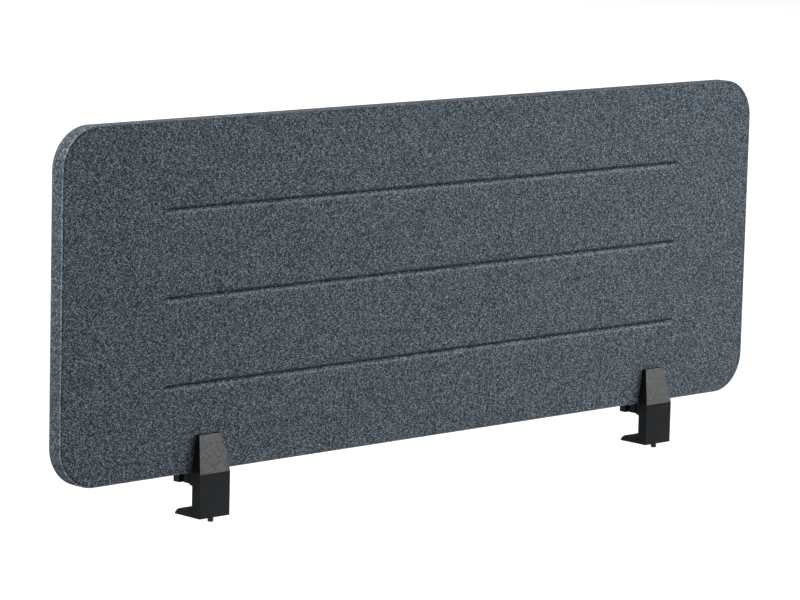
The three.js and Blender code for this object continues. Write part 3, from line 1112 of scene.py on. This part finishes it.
@dataclass
class SocketScrew:
    """A cap screw with a knurled head and a hexagon socket, made upright, its head down.

    knurl_foot and knurl_gap are how far its flutes stay off the head's two ends, and plain is
    how much of the shank has no thread.
    """

    name: str
    seat: float
    tip: float
    radius: float = 2.5 * MM
    head_radius: float = 4.25 * MM
    head_height: float = 4.8 * MM
    head_rim: float = 0.45 * MM
    hex_flats: float = 4 * MM
    hex_depth: float = 2.4 * MM
    flutes: int = 30
    flute_depth: float = 0.3 * MM
    knurl_foot: float = 0.9 * MM
    knurl_gap: float = 0.8 * MM
    thread_pitch: float = 0.8 * MM
    thread_depth: float = 0.45 * MM
    most_turns: int = 24
    plain: float = 3 * MM
    point: float = 0.7 * MM

    def build(self, placing: Matrix) -> Piece:
        """Makes the screw and puts it in place.

        Args:
            placing: takes the upright screw on the Z axis to where it belongs.

        Returns:
            The screw.
        """
        foot = self.seat - self.head_height
        slot = math.pi / self.flutes
        levels = (self.seat - self.knurl_gap, foot + self.knurl_foot)

        def is_flute(place: Vector, _: Vector) -> bool:
            """Whether a point lies at the end of a flute."""
            even = round(math.atan2(place.y, place.x) / slot) % 2 == 0
            return even and any(near(place.z, level) for level in levels)

        head = rod(self.name, self.head_radius, (0, 0, foot), (0, 0, self.seat), 2 * self.flutes)
        with editing(head):
            pick(Part.EDGE, lambda place, way: near(place.z, foot) and abs(way.z) < 0.5)
            bpy.ops.mesh.bevel(offset=self.head_rim, segments=2, affect="EDGES")
            for level in levels:
                slice_at((0, 0, level), (0, 0, 1))
            pick(Part.VERT, is_flute)
            shrink = 1 - self.flute_depth / self.head_radius
            bpy.ops.transform.resize(value=(shrink, shrink, 1), center_override=(0, 0, foot))
        corner = self.hex_flats / math.sqrt(3)
        key = rod("key", corner, (0, 0, foot - MM), (0, 0, foot + self.hex_depth), 6)
        combine(head, "DIFFERENCE", key)
        combine(head, "UNION", self._shank())
        head.data.transform(placing)
        only(head)
        bpy.ops.object.shade_smooth_by_angle(angle=math.radians(30))
        return head

    def _shank(self) -> Piece:
        """Makes the shank, ringed by its thread near the tip.

        Returns:
            The shank.
        """
        shank = rod("shank", self.radius, (0, 0, self.seat - MM), (0, 0, self.tip), 24)
        turns = int((self.tip - self.seat - self.plain) / self.thread_pitch)
        rings = 2 * min(turns, self.most_turns)
        levels = [self.tip - MM - k * self.thread_pitch / 2 for k in range(rings)]
        with editing(shank):
            for level in levels:
                slice_at((0, 0, level), (0, 0, 1))
            roots = levels[1::2]
            pick(Part.VERT, lambda place, _: any(near(place.z, root) for root in roots))
            shrink = 1 - self.thread_depth / self.radius
            bpy.ops.transform.resize(value=(shrink, shrink, 1), center_override=(0, 0, self.tip))
            pick(Part.EDGE, lambda place, way: near(place.z, self.tip) and abs(way.z) < 0.5)
            bpy.ops.mesh.bevel(offset=self.point, segments=1, affect="EDGES")
        return shank


@dataclass
class Clamp:
    """One desk clamp: housing with its wedge, rear cheek, sliding jaw, pads and two screws.

    A half is how wide a piece is to each side of the clamp's middle, and a span that ends in
    _y or _z is where it starts and ends that way.
    """

    wardrobe: Wardrobe
    side: str
    edge: float = 0.5 * MM
    clearance: float = 0.3 * MM
    fold: float = 18 * MM
    lip_width: float = 40 * MM
    lip_depth: float = 8 * MM
    screw_y: float = -8.5 * MM
    cross_z: float = 11.5 * MM
    throat_fillet: float = 4 * MM
    throat_depth: float = 5.8 * MM
    channel_wall: float = 2.5 * MM
    channel_half: float = 20 * MM
    pad_lift: float = 2.4 * MM
    grip_gap: float = 1.5 * MM
    shelf_half: float = 22 * MM
    shelf_y: Span = (4.8 * MM, 26.5 * MM)
    shelf_z: Span = (2.2 * MM, 6.5 * MM)
    boss_half: float = 26.5 * MM
    boss_y: Span = (9.3 * MM, 19.3 * MM)
    web_half: float = 10 * MM
    web_y: Span = (4.8 * MM, 10.3 * MM)
    web_foot: float = 5.5 * MM
    bore: float = 2.8 * MM
    bore_z: Span = (-3 * MM, 28 * MM)
    insert_bore: float = 4.8 * MM
    insert_top: float = 10.3 * MM
    nut_half: float = 4.95 * MM
    nut_y: Span = (10.3 * MM, 15.9 * MM)
    nut_foot: float = 7.2 * MM
    cross_y: Span = (5.2 * MM, 20.3 * MM)
    pin_bore: float = 2.6 * MM
    pin_shift: float = 17 * MM
    pin_start: float = 10.2 * MM
    pin_end: float = 38.8 * MM
    tongue_half: float = 12 * MM
    tongue_foot: float = 6.8 * MM
    tongue_gap: float = 1.3 * MM
    head_bore: float = 4.55 * MM
    head_depth: float = 5.4 * MM
    leg_half: float = 19.7 * MM
    leg_back: float = -0.5 * MM
    heel_y: Span = (-1.5 * MM, 1.3 * MM)
    collar: float = 3.5 * MM
    jaw_bore: float = 2.85 * MM
    jaw_edge: float = 0.25 * MM
    slope: float = 30 * MM
    arm_taper: float = 4.2 * MM
    pad_taper: float = 3.4 * MM
    rib: float = 1.5 * MM
    rib_edge: float = 0.2 * MM
    jaw_rib: float = 0.7 * MM
    seat_rib: float = 0.6 * MM
    seat_margin: float = 1.4 * MM
    pad_thickness: float = 2.2 * MM
    jaw_head: float = 4.7 * MM

    def __post_init__(self) -> None:
        """Takes the clamp's place and size from the frame."""
        self.low, self.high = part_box(self._node("clamp_body"))
        self.x = (self.low.x + self.high.x) / 2
        self.half = (self.high.x - self.low.x) / 2
        self.saddle = self.fold - self.clearance
        self.panel_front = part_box("front_cover")[0].y
        self.panel_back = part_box("back_cover")[1].y

    def _node(self, name: str) -> str:
        """A CAD node's full name on this side."""
        return f"{self.side}_{name}"

    def _across(self, half: float) -> Span:
        """The X span of something that wide to each side of the clamp's middle."""
        return self.x - half, self.x + half

    def build(self) -> None:
        """Makes every piece of the clamp."""
        for piece, finish, body, slot, node in (
            (self._housing(), Finish.MOULDED, "panel", "black_plastic", "clamp_body"),
            (self._cheek(), Finish.MOULDED, "panel", "black_plastic", "rear_cheek"),
            (self._jaw(), Finish.MOULDED, f"{self.side}_jaw", "black_plastic", "lower_jaw"),
            (self._jaw_pad(), Finish.RUBBER, f"{self.side}_jaw", "rubber", "lower_desk_pad"),
            (self._seat_pad(), Finish.RUBBER, "panel", "rubber", "upper_desk_pad"),
            (
                self._clamp_screw(),
                Finish.BLACKED,
                f"{self.side}_screw",
                "black_steel",
                "clamp_screw",
            ),
            (self._cross_screw(), Finish.BLACKED, "panel", "black_steel", "cross_screw"),
        ):
            self.wardrobe.hand_over(piece, finish, body, slot, self._node(node))
        for node, finish in {
            "front_grip_pad": Finish.RUBBER,
            "rear_grip_pad": Finish.RUBBER,
            "clamp_insert": Finish.BRASS,
            "cross_nut": Finish.ZINC,
            "guide_pin_a": Finish.ZINC,
            "guide_pin_b": Finish.ZINC,
        }.items():
            self.wardrobe.dress(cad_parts[self._node(node)], finish)

    def _raise_wedge(self, top: float, outer: float, lip_y: float, is_root: Callable) -> None:
        """Draws a tapering wedge up from a picked top face, in edit mode.

        Args:
            top: the height that it starts from.
            outer: the Y of its outer face's foot.
            lip_y: the Y of its outer face at the lip.
            is_root: picks the face that it starts from.
        """
        lip = self.high.z
        pick(Part.FACE, is_root)
        pull((0, 0, lip - top))
        narrow = self.lip_width / 2 / self.half
        bpy.ops.transform.resize(value=(narrow, 1, 1), center_override=(self.x, 0, lip))
        pick(Part.VERT, lambda place, _: near(place.z, lip) and near(place.y, outer))
        bpy.ops.transform.translate(value=(0, lip_y - outer, 0))

    def _housing(self) -> Piece:
        """Makes the housing: spine, wedge, throat fillet, shelf and boss, with the jaw's channel.

        Returns:
            The housing.
        """
        front, bottom = self.low.y, self.low.z
        back = self.panel_front - self.grip_gap
        body = self._bar("clamp_housing", self.half, (front, 0), (bottom, self.saddle))
        with editing(body):
            slice_at((0, 0, 0), (0, 0, 1))
            pick(Part.FACE, lambda place, way: way.y > 0.9 and place.z > 0)
            pull((0, self.throat_depth, 0))
            slice_at((0, back, 0), (0, 1, 0))
            self._raise_wedge(
                self.saddle,
                front,
                self.panel_front - self.lip_depth,
                lambda place, way: way.z > 0.9 and place.y < back and near(place.z, self.saddle),
            )
            pick(
                Part.EDGE,
                lambda place, way: near(place.y, 0) and near(place.z, 0) and abs(way.x) > 0.9,
            )
            bpy.ops.mesh.bevel(offset=self.throat_fillet, segments=10, affect="EDGES")
        combine(
            body,
            "UNION",
            self._bar("shelf", self.shelf_half, self.shelf_y, self.shelf_z),
            self._bar("boss", self.boss_half, self.boss_y, (self.shelf_z[0], self.saddle)),
            self._bar("web", self.web_half, self.web_y, (self.web_foot, self.saddle - 2 * MM)),
        )
        channel_y = (front + self.channel_wall, MM)
        combine(
            body,
            "DIFFERENCE",
            self._bar("channel", self.channel_half, channel_y, (bottom - MM, -2 * MM)),
            self._shaft("bore", self.bore, *self.bore_z),
            self._shaft("seat", self.insert_bore, self.bore_z[0], self.insert_top),
            self._bar("nut", self.nut_half, self.nut_y, (self.nut_foot, self.fold + MM)),
            self._crossing("cross", self.bore, *self.cross_y),
            *self._pin_bores(self.pin_start, self.cross_y[1]),
        )
        soften(body, self.edge)
        return body

    def _bar(self, name: str, half: float, y: Span, z: Span) -> Piece:
        """A block centred on the clamp and named for its side."""
        return block(f"{self.side}_{name}", self._across(half), y, z)

    def _shaft(self, name: str, radius: float, low: float, high: float) -> Piece:
        """A rod on the jaw screw's line, between two heights."""
        return rod(name, radius, (self.x, self.screw_y, low), (self.x, self.screw_y, high))

    def _crossing(
        self, name: str, radius: float, start: float, end: float, shift: float = 0.0
    ) -> Piece:
        """A rod along Y at the cross screw's height, shifted along X."""
        x = self.x + shift
        return rod(name, radius, (x, start, self.cross_z), (x, end, self.cross_z))

    def _pin_bores(self, start: float, end: float) -> list[Piece]:
        """The cutters for the two guide pins' holes, between two places along Y."""
        shifts = (-self.pin_shift, self.pin_shift)
        return [self._crossing("pin_bore", self.pin_bore, start, end, shift) for shift in shifts]

    def _cheek(self) -> Piece:
        """Makes the cheek behind the panel, with its foot, tongue and screw pocket.

        Returns:
            The cheek.
        """
        low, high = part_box(self._node("rear_cheek"))
        inner = self.panel_back + self.grip_gap
        cheek = self._bar("grip_cheek", self.half, (inner, high.y), (low.z, self.fold))
        with editing(cheek):
            self._raise_wedge(
                self.fold, high.y, self.panel_back + self.lip_depth, lambda place, way: way.z > 0.9
            )
        tongue_z = (self.tongue_foot, self.fold - self.tongue_gap)
        combine(
            cheek, "UNION", self._bar("tongue", self.tongue_half, (low.y, inner + MM), tongue_z)
        )
        combine(
            cheek,
            "DIFFERENCE",
            self._crossing("hole", self.bore, low.y - MM, high.y),
            self._crossing("pocket", self.head_bore, high.y - self.head_depth, high.y + MM),
            *self._pin_bores(inner - MM, self.pin_end),
        )
        soften(cheek, self.edge)
        return cheek

    def _jaw(self) -> Piece:
        """Makes the sliding jaw: a tapering arm, the leg in the housing and the screw's collar.

        Returns:
            The jaw.
        """
        low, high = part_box(self._node("lower_jaw"))
        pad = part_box(self._node("lower_desk_pad"))[1].z
        bottom, arm_top = self.low.z, pad - self.pad_lift
        jaw = self._bar("sliding_jaw", self.half, (self.clearance, high.y), (bottom, arm_top))
        with editing(jaw):
            slice_at((0, self.slope, 0), (0, 1, 0))
            pick(Part.VERT, lambda place, _: near(place.y, high.y) and near(place.z, arm_top))
            bpy.ops.transform.translate(value=(0, 0, -self.arm_taper))
        combine(
            jaw,
            "UNION",
            self._bar("leg", self.leg_half, (low.y, self.leg_back), (bottom, high.z)),
            self._bar("heel", self.leg_half, self.heel_y, (bottom, arm_top)),
            self._shaft("collar", self.collar, low.z, bottom + MM),
        )
        combine(jaw, "DIFFERENCE", self._shaft("hole", self.jaw_bore, low.z - MM, high.z + MM))
        soften(jaw, self.jaw_edge)
        return jaw

    def _ribbed(self, pad: Piece, start: float, count: int, height: float, up: int) -> None:
        """Raises ribs across a pad's face.

        Args:
            pad: the pad.
            start: the Y of the first rib's near edge.
            count: how many ribs it has.
            height: how far they stand out.
            up: 1 for ribs on top, -1 for ribs below.
        """
        edges = [start + k * self.rib for k in range(2 * count)]
        with editing(pad):
            for y in edges:
                slice_at((0, y, 0), (0, 1, 0))
            pick(
                Part.FACE,
                lambda place, way: way.z * up > 0.99
                and any(near(place.y, y + self.rib / 2) for y in edges[::2]),
            )
            pull((0, 0, up * height))
        soften(pad, self.rib_edge)

    def _jaw_pad(self) -> Piece:
        """Makes the jaw's rubber pad, with a nose that follows the jaw's tip.

        Returns:
            The pad.
        """
        low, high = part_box(self._node("lower_desk_pad"))
        thick = (high.z - self.pad_thickness, high.z - self.jaw_rib)
        pad = block(f"{self.side}_jaw_rubber", (low.x, high.x), (low.y, high.y), thick)
        with editing(pad):
            slice_at((0, self.slope, 0), (0, 1, 0))
            pick(Part.VERT, lambda place, _: near(place.y, high.y))
            bpy.ops.transform.translate(value=(0, 0, -self.pad_taper))
        self._ribbed(pad, low.y + self.rib, 8, self.jaw_rib, 1)
        return pad

    def _seat_pad(self) -> Piece:
        """Makes the rubber pad that rests on the desk.

        Returns:
            The pad.
        """
        low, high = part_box(self._node("upper_desk_pad"))
        thick = (low.z + self.seat_rib, high.z)
        pad = block(f"{self.side}_seat_rubber", (low.x, high.x), (low.y, high.y), thick)
        self._ribbed(pad, low.y + self.seat_margin, 6, self.seat_rib, -1)
        return pad

    def _clamp_screw(self) -> Piece:
        """Makes the screw that drives the jaw.

        Returns:
            The screw.
        """
        low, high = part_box(self._node("clamp_screw"))
        name, seat = f"{self.side}_jaw_screw", low.z + self.jaw_head
        screw = SocketScrew(name, seat, high.z, head_height=self.jaw_head)
        return screw.build(Matrix.Translation((self.x, self.screw_y, 0)))

    def _cross_screw(self) -> Piece:
        """Makes the screw that pulls the cheek on to the panel.

        Returns:
            The screw.
        """
        low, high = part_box(self._node("cross_screw"))
        seat = -(high.y - SocketScrew.head_height)
        screw = SocketScrew(f"{self.side}_cheek_screw", seat, -low.y)
        turn = Matrix.Rotation(math.radians(90), 4, "X")
        return screw.build(Matrix.Translation((self.x, 0, self.cross_z)) @ turn)


# ---------------------------------------------------------------- the studio


@dataclass(frozen=True)
class Softbox:
    """A rectangular lamp that looks at the panel."""

    name: str
    place: tuple[float, float, float]
    size: Span
    watts: float
    aim: tuple[float, float, float] = (0.0, 0.0, 0.2)
    colour: Colour = (1.0, 1.0, 1.0)

    def light(self) -> None:
        """Hangs the lamp."""
        data = bpy.data.lights.new(self.name, "AREA")
        data.shape, data.size, data.size_y = "RECTANGLE", *self.size
        data.energy, data.color = self.watts, self.colour
        lamp = bpy.data.objects.new(self.name, data)
        lamp.location = self.place
        look = Vector(self.aim) - Vector(self.place)
        lamp.rotation_euler = look.to_track_quat("-Z", "Y").to_euler()
        bpy.context.scene.collection.objects.link(lamp)


@dataclass
class Studio:
    """The pale room: camera, softboxes, floor and sky. Angles are in degrees."""

    eye: tuple[float, float, float] = (-3.8919, -3.9849, 1.0797)
    azimuth: float = 43.82
    drop: float = 8.752
    roll: float = 1.431
    lens: float = 171.24
    sensor: float = 36
    clip_end: float = 100
    floor_height: float = -0.74
    lamps: tuple[Softbox, ...] = (
        Softbox("right_softbox", (2.25, -2.6, 1.1), (2.6, 1.6), 330, (0.1, 0.0, 0.2)),
        Softbox("left_softbox", (-3.4, 0.9, 1.2), (1.6, 1.8), 130, (-0.7, 0.0, 0.2)),
        Softbox("corner_softbox", (-1.35, 0.22, 1.2), (0.5, 0.3), 38, (-0.69, 0.015, 0.5)),
        Softbox("fill_softbox", (0.25, -1.5, 1.35), (0.7, 0.4), 20, (0.15, 0.0, 0.3)),
        Softbox("ceiling_softbox", (7.5, 8.0, 7.0), (14.0, 14.0), 1100, (7.5, 8.0, 0.0)),
    )
    sun_strength: float = 2.6
    sun_spread: float = 70
    sun_lean: float = -12
    sky_strength: float = 0.5
    sky_colour: Colour = (0.95, 0.975, 1.0)
    floor_size: float = 60
    floor_colour: Colour = (0.56, 0.56, 0.56)

    def build(self) -> None:
        """Sets the room up."""
        self._camera()
        for lamp in self.lamps:
            lamp.light()
        self._sun()
        self._sky()
        self._floor()
        bpy.context.scene.view_settings.view_transform = "Standard"

    def _camera(self) -> None:
        """Places the camera by its heading, its drop below the horizon and its roll."""
        data = bpy.data.cameras.new("camera")
        data.lens, data.sensor_width, data.clip_end = self.lens, self.sensor, self.clip_end
        camera = bpy.data.objects.new("camera", data)
        camera.location = self.eye
        heading = Euler((math.radians(90 - self.drop), 0, math.radians(-self.azimuth))).to_matrix()
        roll = Matrix.Rotation(math.radians(self.roll), 3, "Z")
        camera.rotation_euler = (heading @ roll).to_euler()
        bpy.context.scene.collection.objects.link(camera)
        bpy.context.scene.camera = camera

    def _sun(self) -> None:
        """Hangs a wide even light straight overhead, mainly for the floor."""
        data = bpy.data.lights.new("overhead", "SUN")
        data.energy, data.angle = self.sun_strength, math.radians(self.sun_spread)
        lamp = bpy.data.objects.new("overhead", data)
        lamp.rotation_euler = (0, math.radians(self.sun_lean), 0)
        bpy.context.scene.collection.objects.link(lamp)

    def _sky(self) -> None:
        """Fills the room with soft white light."""
        world = bpy.data.worlds.new("room")
        bpy.context.scene.world = world
        world.use_nodes = True
        background = next(n for n in world.node_tree.nodes if n.type == "BACKGROUND")
        background.inputs["Color"].default_value = (*self.sky_colour, 1)
        background.inputs["Strength"].default_value = self.sky_strength

    def _floor(self) -> None:
        """Lays a plain pale floor."""
        only()
        place = (0, 0, self.floor_height)
        bpy.ops.mesh.primitive_plane_add(size=self.floor_size, location=place)
        floor = settled("pale_floor")
        pale = bpy.data.materials.new("pale_floor")
        pale.use_nodes = True
        shader = next(n for n in pale.node_tree.nodes if n.type == "BSDF_PRINCIPLED")
        shader.inputs["Base Color"].default_value = (*self.floor_colour, 1)
        shader.inputs["Roughness"].default_value = 1.0
        shader.inputs["Specular IOR Level"].default_value = 0.0
        floor.data.materials.append(pale)
        floor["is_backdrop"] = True


def save_sizes() -> None:
    """Gathers the CAD box and the visual model's box."""
    boxes = {"cad": CAD_BOX, "visual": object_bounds()}
    {name: [list(corner) for corner in box] for name, box in boxes.items()}


def main() -> None:
    """Builds the panel, its clamps and the room."""
    logging.basicConfig(level=logging.INFO, format="%(name)s: %(message)s")
    wardrobe = Wardrobe()
    Studio().build()
    Panel(wardrobe).build()
    for side in ("left", "right"):
        Clamp(wardrobe, side).build()
    save_sizes()


if __name__ == "__main__":
    main()
